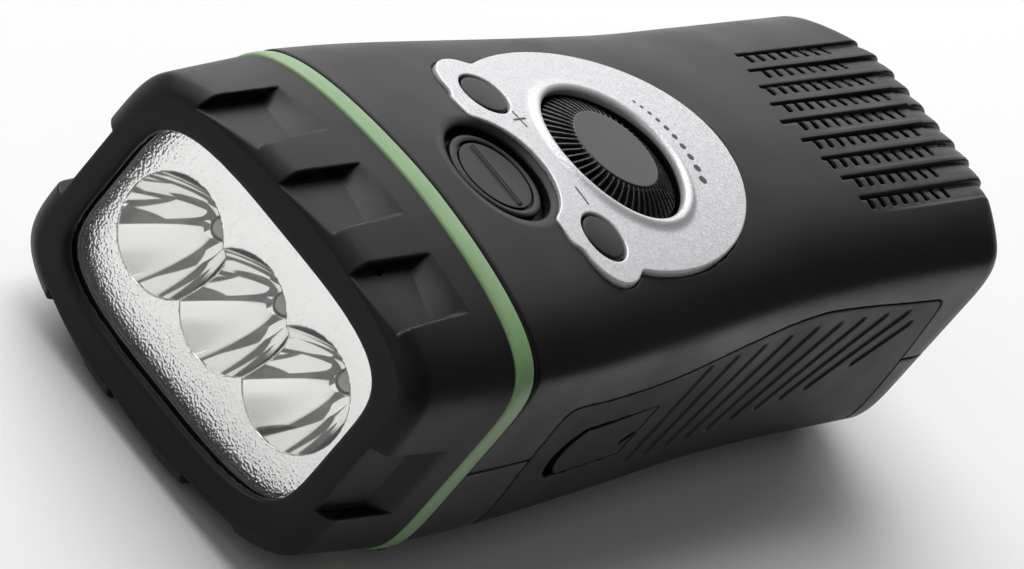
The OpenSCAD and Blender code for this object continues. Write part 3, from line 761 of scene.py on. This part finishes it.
def plate_top(x, y):
    """Height of the plate's face: a shallow arch with a raised collar round the knob."""
    r = np.hypot(x - KNOB[0], y)
    arch = PLATE_TOP + PLATE_TILT * (x - KNOB[0]) - PLATE_ARCH * y * y
    return arch + COLLAR_RISE * np.exp(-(((r - COLLAR_R) / COLLAR_SPREAD) ** 2))


def plate_outline(x, y):
    """An oval cut short at the front, two ears for the small buttons, and a bay round the light button."""
    main = oval(x - PLATE_MID, y, PLATE_HALF_LENGTH, PLATE_HALF_WIDTH, 2, 2)
    main = smooth_max(main, PLATE_MID - 20.8 - x, 0.6)
    body = smooth_min(main, disc(x - EAR_X, np.abs(y) - EAR_Y, EAR_R), 0.9)
    return smooth_max(body, -disc(x - LIGHT[0] - 0.1, y - 0.2, DISH_EDGE_R), 0.8)


def control_plate(p):
    x, y, z = p[:, 0], p[:, 1], p[:, 2]
    d = smooth_max((z - plate_top(x, y)) * 0.93, plate_outline(x, y), 0.28)
    d = np.maximum(d, -case_form(p, 0.7))
    d = carve(d, disc(x - KNOB[0], y, KNOB_R + 0.4), 0.5)
    for s in (-1, 1):
        d = carve(d, disc(x - SCAN[0], y - s * SCAN[1], SCAN_R + 0.3), 0.35)
    return d


def volume_knob(p):
    """Flat disc in the middle and steep swept ribs round it; t runs from 0 to 1 across the ribs."""
    x, y, z = p[:, 0] - KNOB[0], p[:, 1], p[:, 2]
    r = np.hypot(x, y)
    t = np.clip((r - 6.7) / 4.3, 0, 1.2)
    crown = KNOB_TOP - 0.1 - KNOB_FALL * t**1.3
    per_radian = KNOB_RIBS / (2 * np.pi)
    turn = np.arctan2(y, x) * per_radian + t * KNOB_SWEEP
    ridge = np.clip((np.abs(turn - np.round(turn)) * 2 - 0.3) / 0.62, 0, 1)
    ribbed = np.clip(t * 5, 0, 1)
    steep = np.sqrt(1 + (2 * KNOB_RIB_DEPTH * per_radian / np.maximum(r, 6)) ** 2 * ribbed + 0.25)
    cap = smooth_max(disc(r, 0, KNOB_DISC_R), z - KNOB_TOP, 0.35)
    d = smooth_min((z - crown + KNOB_RIB_DEPTH * ribbed * ridge) / steep, cap, 0.1)
    d = smooth_max(d, disc(r, 0, KNOB_R), 0.3)
    d = np.maximum(d, KNOB_LOW - z)
    return np.maximum(d, -np.maximum(disc(r, 0, KNOB_BORE_R), z - KNOB_BORE_TOP))


def button_base(r, z, flange_r, flange_low, flange_high, stem_r):
    """The flange under the case that keeps a button in, and the stem that reaches down to its switch."""
    flange = np.maximum(disc(r, 0, flange_r), slab(z, flange_low, flange_high))
    stem = np.maximum(disc(r, 0, stem_r), slab(z, STEM_LOW, 40))
    return flange, stem


def scan_button(side):
    """Small round button on the + side (1) or the - side (-1) of the plate, with a slightly crowned top."""
    def form(p):
        x, y, z = p[:, 0] - SCAN[0], p[:, 1] - side * SCAN[1], p[:, 2]
        r = np.hypot(x, y)
        top = z - plate_top(x + SCAN[0], y + side * SCAN[1]) - 0.05 + r * r * 0.012
        d = smooth_max(top, disc(r, 0, SCAN_R), 0.45)
        d = np.maximum(d, 39.5 - z)
        flange, stem = button_base(r, z, 4.05, 41.0, 41.9, 1.2)
        return np.minimum(np.minimum(d, flange), stem)
    return form


def light_button(p):
    """Round rubber button: raised rim, thin groove, and across its middle a ridge with a slot beside it."""
    x, y, z = p[:, 0] - LIGHT[0], p[:, 1], p[:, 2] - LIGHT_TOP
    r = np.hypot(x, y)
    d = smooth_max(disc(r, 0, LIGHT_R), z + np.where(r > 5.9, np.abs(r - 6.6) * 0.22, 0.12), 0.35)
    d = carve(d, np.maximum(np.abs(r - GROOVE_R) - 0.17, -0.7 - z), 0.12)
    d = carve(d, np.maximum(stadium(x - 0.42, y, 0, -BAR_HALF, 0, BAR_HALF, 0.2), -0.6 - z), 0.1)
    ridge = smooth_max(stadium(x + 0.1, y, 0, -BAR_HALF, 0, BAR_HALF, 0.3), z - 0.1, 0.3)
    d = smooth_min(d, np.maximum(ridge, -0.6 - z), 0.08)
    d = np.maximum(d, 39.3 - LIGHT_TOP - z)
    flange, stem = button_base(r, z + LIGHT_TOP, 8.7, 40.4, 41.4, 1.6)
    return np.minimum(np.minimum(d, flange), stem)


# ---------------------------------------------------------------- case halves
GROOVE_PITCH = 3.35
GROOVE_SHIFT = 0.5
GROOVE_START = SPEAKER[0] - 22.1
GROOVE_RUN_IN = 22
GROOVE_HALF = 2.2
SLIT_PITCH = 2.98
PANEL_ROOM = LEVER_THICK + LEVER_GAP
BOWL_R = 10.3
LIGHT_HOLE_R = 8.2
KNOB_HOLE_R = 11.95
SCAN_HOLE_R = 4.3
POST_R = 3.6
POSTS = ((X_CASE + 7.3, 21.5), (69.5, 13.5))
SCREW_WELL_R = 2.95
SCREW_HOLE_R = 1.45
BOSS_R = 3.1
KNUCKLE_ROOM_R = 3.8
PIN_SEAT_R = 1.55


def grille(p):
    """Nine louvre-like grooves that run out over the rear edge, each with a comb of slits on one side."""
    x, y = p[:, 0], p[:, 1]
    depth = -case_form(p)
    found = nothing_near(p)
    for i in range(-4, 5):
        outer = abs(i) > 2
        away = y - i * GROOVE_PITCH - GROOVE_SHIFT
        start = GROOVE_START + abs(i) * 1.5
        grown = np.clip((x - start) / GROOVE_RUN_IN, 0, 1)
        line = 0.85 - 3.6 * np.abs(away)
        slope_down = np.where(away < 0, (0.6 + 0.28 * away) * grown - 0.7 * (1 - grown) ** 3, -1)
        groove = smooth_max((depth - np.maximum(line, slope_down)) * 0.5, np.abs(away) - GROOVE_HALF, 0.1)
        found = np.minimum(found, np.maximum(groove, start - x))
        first = SPEAKER[0] - (14.2 if outer else 17.6)
        count = 8 if outer else 10
        step = np.clip(np.round((x - first) / SLIT_PITCH), 0, count - 1)
        along = x - first - step * SLIT_PITCH
        slit = smooth_max(np.abs(along + away * 0.12) - 0.56, np.abs(away + 0.82) - 0.86, 0.25)
        found = np.minimum(found, slit)
    return found


def shell(p):
    """Both case halves as one thin shell, with the lever's recess taken out of its outside."""
    x, z = p[:, 0], p[:, 2]
    inner = case_form(p, WALL)
    deep = case_form(p, PANEL_ROOM + 1.6)
    ends = np.minimum(np.minimum(x + 41.5, 65.2 - x), 37.3 - z)
    hollow = np.minimum(deep, np.maximum(inner, ends))
    d = smooth_max(case_form(p), X_CASE - x, 0.7)
    d = np.maximum(d, -hollow)
    recess = np.maximum(lever_zone(x, z, 0.1), -case_form(p, PANEL_ROOM))
    return carve(d, recess, 0.3)


def upper_case(p):
    """Upper shell: the light button's bowl, the holes for the controls, the plate's bed and the grille."""
    x, y, z = p[:, 0], p[:, 1], p[:, 2]
    d = smooth_max(shell(p), SEAM_Z + 0.05 - z, 0.5)
    r = np.hypot(x - LIGHT[0], y)
    bowl = smooth_max(disc(r, 0, BOWL_R), 43.3 + np.clip(r - 8.3, 0, 3) * 0.42 - z, 0.4)
    d = carve(d, bowl, 0.4)
    d = carve(d, disc(r, 0, LIGHT_HOLE_R), 0.25)
    d = carve(d, disc(x - KNOB[0], y, KNOB_HOLE_R), 0.2)
    for s in (-1, 1):
        d = carve(d, disc(x - SCAN[0], y - s * SCAN[1], SCAN_HOLE_R), 0.2)
    gap = np.where(r < 11, -0.1, 0.14)
    bed = np.maximum(smooth_max(plate_outline(x, y) - gap, -case_form(p, 0.95), 0.1), 40 - z)
    d = carve(d, bed, 0.2)
    over = np.where((x > SPEAKER[0] - 24) & (z > 30), grille(p), FAR)
    return carve(d, over, 0.3)


def lower_case(p):
    """Lower shell with its four screw posts and the two bosses that hold the lever's hinge pin."""
    x, y, z = p[:, 0], p[:, 1], p[:, 2]
    d = smooth_max(shell(p), z - SEAM_Z + 0.05, 0.5)
    for post_x, post_y in POSTS:
        r = np.hypot(x - post_x, np.abs(y) - post_y)
        d = np.minimum(d, np.maximum(r - POST_R, slab(z, 0.8, SEAM_Z - 0.1)))
        d = np.maximum(d, -np.maximum(r - SCREW_WELL_R, z - 5))
        d = np.maximum(d, SCREW_HOLE_R - r)
    d = np.minimum(d, np.maximum(about_hinge(x, z, BOSS_R), slab(np.abs(y), 17.4, 20.4)))
    d = np.maximum(d, -np.maximum(about_hinge(x, z, KNUCKLE_ROOM_R), np.abs(y) - 17.2))
    return np.maximum(d, -np.maximum(about_hinge(x, z, PIN_SEAT_R), np.abs(y) - 19.6))


# ---------------------------------------------------------------- lever and catch
GRIP_GROOVES = 10
GRIP_PITCH = 5.9
GRIP_LEAN = 4.6
GRIP_GROOVE_R = 0.7
KNUCKLE_R = 3.3
KNUCKLE_HALF = 17
PIN_BORE_R = 1.56
COIL_ROOM_R = 3.1
CATCH_X, CATCH_Z, CATCH_R = -24.4, 20, 4.6
CATCH_END = -8.8
CATCH_LEAD = 2.4


def grip_grooves(p):
    """Fine grooves across the grip, each leaning back GRIP_LEAN degrees more than the one before."""
    x, z = p[:, 0], p[:, 2]
    found = nothing_near(p)
    for i in range(GRIP_GROOVES):
        lean = math.radians(4 + GRIP_LEAN * i)
        cx, cz = -2.5 + GRIP_PITCH * i, 21.5 + 0.5 * i
        reach = 9.5 - 0.25 * abs(i - 4) - (3.5 if i == GRIP_GROOVES - 1 else 0)
        ux, uz = math.sin(lean) * reach, math.cos(lean) * reach
        found = np.minimum(found, stadium(x, z, cx - ux, cz - uz, cx + ux, cz + uz, GRIP_GROOVE_R))
    return found


def catch_zone(x, z, gap=0.0, lead=0.0):
    """Side outline of the catch, a bar with a round front end, widened by gap and moved forward by lead."""
    head = disc(x - CATCH_X + lead, z - CATCH_Z, CATCH_R)
    tail = np.maximum(np.abs(z - CATCH_Z) - CATCH_R, slab(x, CATCH_X - lead, CATCH_END))
    return smooth_min(head, tail, 0.1) - gap


def press_lever(p):
    """Saddle that wraps under the case, with the catch's pocket and a hinge knuckle open for the spring."""
    x, y, z = p[:, 0], p[:, 1], p[:, 2]
    skin = smooth_max(case_form(p), -case_form(p, LEVER_THICK), 0.3)
    d = smooth_max(skin, lever_zone(x, z, -0.06), 0.3)
    d = smooth_max(d, 0.3 - z, 0.3)
    relief = smooth_max(grip_grooves(p), -case_form(p, 0.3), 0.4)
    d = carve(d, relief, 0.5)
    pocket = np.maximum(catch_zone(x, z, 0.08, CATCH_LEAD), -case_form(p, 1.9))
    d = carve(d, np.maximum(pocket, y), 0.12)
    knuckle = np.maximum(about_hinge(x, z, KNUCKLE_R), np.abs(y) - KNUCKLE_HALF)
    web = np.maximum(slab(z, 0.6, 3.2), np.abs(y) - KNUCKLE_HALF)
    web = np.maximum(slab(x, HINGE[0], HINGE[0] + 7), web)
    d = np.minimum(d, np.minimum(knuckle, web))
    room = np.maximum(slab(np.abs(y), 17.1, 20.9), np.maximum(slab(x, -42, -32.4), z - 8))
    d = np.maximum(d, -room)
    d = np.maximum(d, -about_hinge(x, z, PIN_BORE_R))
    coil_room = np.maximum(about_hinge(x, z, COIL_ROOM_R), np.abs(y) - 4.6)
    return np.maximum(d, -coil_room)


def lock_catch(p):
    """Thin tab flush with the lever's cheek, with a fine line above and a small mark at its rear end."""
    x, y, z = p[:, 0], p[:, 1], p[:, 2]
    skin = smooth_max(case_form(p, 0.05), -case_form(p, 1.0), 0.2)
    d = smooth_max(skin, catch_zone(x, z), 0.12)
    line = smooth_max(stadium(x, z, -26, 24.2, -9, 24.9, 0.32), -case_form(p, 0.55), 0.1)
    d = carve(d, line, 0.2)
    mark = smooth_max(stadium(x, z, -11.2, 18.4, -9.6, 19.2, 0.5), -case_form(p, 0.8), 0.1)
    d = carve(d, mark, 0.2)
    return np.maximum(d, y + 15)


# ---------------------------------------------------------------- pieces
def add_stipple(obj):
    """Marks the reflector's flat face, where the hammered texture goes."""
    fade = 0.5
    points = np.empty(len(obj.data.vertices) * 3)
    obj.data.vertices.foreach_get("co", points)
    points = points.reshape(-1, 3) / MM
    share = np.clip(-cup_depth(points[:, 1], points[:, 2])[0] / fade, 0, 1)
    mask = obj.data.attributes.new("stipple", "FLOAT", "POINT")
    mask.data.foreach_set("value", share.astype(np.float32))


def build(name, node, shape, step, finish, slot, body="case", keep=1.0, margin=0.0):
    """Sculpts a piece within its CAD node's box and puts it in that node's place."""
    low, high = box_mm(node)
    piece = sculpt(name, shape, low - margin, high + margin, step, keep)
    place(piece, finish, body, slot, node)
    return piece


def make_head():
    build("bumper_skin", "rubber_bumper", bumper, 0.3, RUBBER, "bumper_rubber", keep=0.35)
    build("ring_band", "trim_ring", trim_ring, 0.3, RING, "ring_green", keep=0.6)
    build("window", "lens", lens, 0.3, LENS_CLEAR, "lens_clear", keep=0.25)
    add_stipple(build("reflector_face", "reflector", reflector, 0.22, CHROME, "reflector_chrome", keep=0.7))
    build("lamp_domes", "leds", lamps, 0.2, LAMP, "led_clear")


def make_case():
    build("upper_shell", "upper_case", upper_case, 0.32, CASE, "case_black", keep=0.4)
    build("lower_shell", "lower_case", lower_case, 0.45, CASE, "case_black", keep=0.4)


def print_marks():
    """Dots that grow along the volume scale, and a plus and a minus by the two small buttons, as thin ink."""
    dots, half_line = 10, 0.17
    points, faces = [], []

    def stamp(outline):
        """A thin prism on the plate's face."""
        n, base = len(outline), len(points)
        for lift in (-0.15, 0.02):
            for x, y in outline:
                points.append((x, y, float(plate_top(np.float64(x), np.float64(y))) + lift))
        faces.append([base + n + i for i in range(n)])
        faces.append([base + i for i in reversed(range(n))])
        faces.extend([base + i, base + (i + 1) % n, base + n + (i + 1) % n, base + n + i] for i in range(n))

    def bar(x, y, half_x, half_y):
        stamp([(x + u * half_x, y + v * half_y) for u, v in ((-1, -1), (1, -1), (1, 1), (-1, 1))])

    for i in range(dots):
        turn = math.radians(29 - 4.2 * i - 0.2 * i * i)
        cx, cy = KNOB[0] + MARK_R * math.cos(turn), MARK_R * math.sin(turn)
        r = 0.26 + 0.046 * i
        stamp([(cx + r * math.cos(a), cy + r * math.sin(a)) for a in np.arange(24) * math.pi / 12])
    bar(-25.0, 7.4, half_line, 1.5)
    bar(-25.0, 7.4, 1.4, half_line)
    bar(-25.5, -6.1, half_line, 1.5)
    return mesh_object("printed_marks", points, faces)


def make_controls():
    build("plate_skin", "control_plate", control_plate, 0.17, SILVER, "plate_silver", margin=1.0)
    place(print_marks(), INK, "case", "knob_black", "control_plate")
    build("knob_cap", "volume_knob", volume_knob, 0.13, KNOB_BLACK, "knob_black", body="knob")
    for side, word in ((1, "up"), (-1, "down")):
        build(f"scan_{word}_pad", f"scan_{word}_button", scan_button(side), 0.18, BUTTON, "button_rubber",
              body=f"scan_{word}")
    build("light_pad", "light_button", light_button, 0.16, BUTTON, "button_rubber", body="light")


def make_lever():
    build("lever_saddle", "press_lever", press_lever, 0.38, LEVER, "lever_black", body="lever", keep=0.4)
    build("catch_tab", "lock_catch", lock_catch, 0.25, LEVER, "case_black", body="catch")


make_head()
make_case()
make_controls()
make_lever()


# ---------------------------------------------------------------- studio
def studio_floor():
    mesh = bpy.data.meshes.new("floor")
    reach = 4.0
    corners = [(-reach, -reach, 0), (reach, -reach, 0), (reach, reach, 0), (-reach, reach, 0)]
    mesh.from_pydata(corners, [], [(0, 1, 2, 3)])
    floor = bpy.data.objects.new("floor", mesh)
    bpy.context.scene.collection.objects.link(floor)
    paint = Paint("floor paper", (0.93, 0.93, 0.93), 0.8, specular=0.2)
    paint.bump(paint.noise(1.5, 3), "Fac", 0.01)
    mesh.materials.append(paint.material)


def softbox(name, place_m, aim_m, size, power):
    """A rectangular light that shows in reflections but not to the camera."""
    light = bpy.data.lights.new(name, "AREA")
    light.shape = "RECTANGLE"
    light.size, light.size_y = size
    light.energy = power
    obj = bpy.data.objects.new(name, light)
    obj.location = place_m
    obj.rotation_mode = "QUATERNION"
    obj.rotation_quaternion = (Vector(aim_m) - Vector(place_m)).to_track_quat("-Z", "Y")
    obj.visible_camera = False
    bpy.context.scene.collection.objects.link(obj)


def studio_lights():
    world = bpy.data.worlds.new("studio")
    world.use_nodes = True
    world.node_tree.nodes["Background"].inputs["Color"].default_value = (1, 1, 1, 1)
    world.node_tree.nodes["Background"].inputs["Strength"].default_value = 0.1
    bpy.context.scene.world = world
    aim = (0, 0, 0.02)
    softbox("over", (0.1, 0.85, 1.05), aim, (1.6, 1.4), 24)
    softbox("behind", (0.8, 0.7, 0.45), aim, (1.4, 0.8), 4.9)
    softbox("front", (-1.2, 0.2, 0.75), aim, (1.4, 0.9), 3)
    bpy.context.scene.view_settings.view_transform = "Standard"


def set_camera():
    """The photograph's viewing angle and roll, from a distance of one metre with a long lens."""
    azimuth, elevation, roll = math.radians(-69.41), math.radians(26.36), math.radians(40.85)
    aim = Vector((-7.35, 0, 18.67)) * MM
    level = math.cos(elevation)
    back = Vector((math.sin(azimuth) * level, -math.cos(azimuth) * level, math.sin(elevation)))
    right = Vector((math.cos(azimuth), math.sin(azimuth), 0))
    up = back.cross(right)
    across = math.cos(roll) * right + math.sin(roll) * up
    upright = back.cross(across)
    camera = bpy.data.objects.new("camera", bpy.data.cameras.new("camera"))
    camera.data.sensor_width = 36
    camera.data.lens = 267.7
    camera.data.clip_start, camera.data.clip_end = 0.05, 20
    turn = Matrix((across, upright, back)).transposed().to_4x4()
    camera.matrix_world = Matrix.Translation(aim + back) @ turn
    bpy.context.scene.collection.objects.link(camera)
    bpy.context.scene.camera = camera


studio_floor()
studio_lights()
set_camera()
